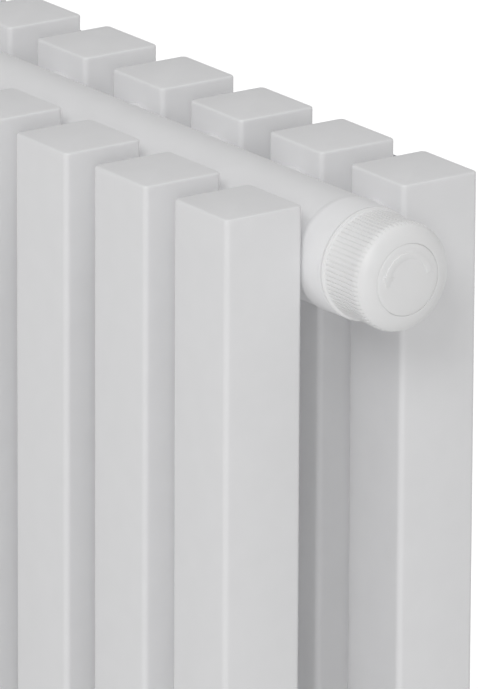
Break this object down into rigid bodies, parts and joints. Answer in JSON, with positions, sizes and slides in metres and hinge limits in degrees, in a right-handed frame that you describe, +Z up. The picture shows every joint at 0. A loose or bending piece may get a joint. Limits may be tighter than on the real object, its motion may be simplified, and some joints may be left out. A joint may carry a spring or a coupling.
{
  "type": "radiator with valve",
  "caption": "Two-row steel tube radiator of square uprights on round manifolds, with a ribbed hand-knob air-vent valve, blind plug and wall brackets.",
  "frame": {"origin": "centre of the base: on the plane of the tubes' feet, midway between the knob's tip and the blind plug's face, and midway from the front face to the wall plane", "axes": "+X towards the valve end, +Y towards the wall, +Z up"},
  "size_m": [0.3946, 0.1296, 0.5412],
  "materials": {
    "powder_coat": "satin white powder coat",
    "knob_plastic": "moulded white plastic, fine satin",
    "brass": "machined",
    "zinc_steel": "zinc plated",
    "seal_rubber": "matt black rubber"
  },
  "bodies": {
    "radiator": {"front_tube_1": "powder_coat", "front_cap_1": "powder_coat", "back_tube_1": "powder_coat", "back_cap_1": "powder_coat", "front_tube_2": "powder_coat", "front_cap_2": "powder_coat", "back_tube_2": "powder_coat", "back_cap_2": "powder_coat", "front_tube_3": "powder_coat", "front_cap_3": "powder_coat", "back_tube_3": "powder_coat", "back_cap_3": "powder_coat", "front_tube_4": "powder_coat", "front_cap_4": "powder_coat", "back_tube_4": "powder_coat", "back_cap_4": "powder_coat", "front_tube_5": "powder_coat", "front_cap_5": "powder_coat", "back_tube_5": "powder_coat", "back_cap_5": "powder_coat", "front_tube_6": "powder_coat", "front_cap_6": "powder_coat", "back_tube_6": "powder_coat", "back_cap_6": "powder_coat", "front_tube_7": "powder_coat", "front_cap_7": "powder_coat", "back_tube_7": "powder_coat", "back_cap_7": "powder_coat", "front_tube_8": "powder_coat", "front_cap_8": "powder_coat", "back_tube_8": "powder_coat", "back_cap_8": "powder_coat", "upper_manifold": "powder_coat", "upper_boss_right": "powder_coat", "upper_boss_left": "powder_coat", "lower_manifold": "powder_coat", "lower_boss_right": "powder_coat", "lower_boss_left": "powder_coat", "vent_body": "brass", "vent_body_seal": "seal_rubber", "gland_nut": "brass", "stem_packing": "seal_rubber", "blind_plug": "powder_coat", "blind_plug_seal": "seal_rubber", "upper_bracket_right": "zinc_steel", "upper_bracket_liner_right": "seal_rubber", "lower_bracket_right": "zinc_steel", "lower_bracket_liner_right": "seal_rubber", "upper_bracket_left": "zinc_steel", "upper_bracket_liner_left": "seal_rubber", "lower_bracket_left": "zinc_steel", "lower_bracket_liner_left": "seal_rubber"},
    "jumper_carrier": {"jumper": "brass", "jumper_washer": "seal_rubber"},
    "knob_and_spindle": {"knob": "knob_plastic", "knob_cover": "knob_plastic", "spindle": "brass", "knob_screw": "zinc_steel"}
  },
  "joints": [
    {"name": "jumper_travel", "type": "slide", "parent": "radiator", "child": "jumper_carrier", "axis": [1, 0, 0], "range_m": [0, 0.00188]},
    {"name": "knob_turn", "type": "hinge", "parent": "jumper_carrier", "child": "knob_and_spindle", "pos_m": [0.17475, -0.015, 0.5206], "axis": [1, 0, 0], "range_deg": [0, 450]}
  ],
  "couplings": [
    {"joint": "jumper_travel", "follows": "knob_turn", "m_per_rad": 0.00023873}
  ]
}
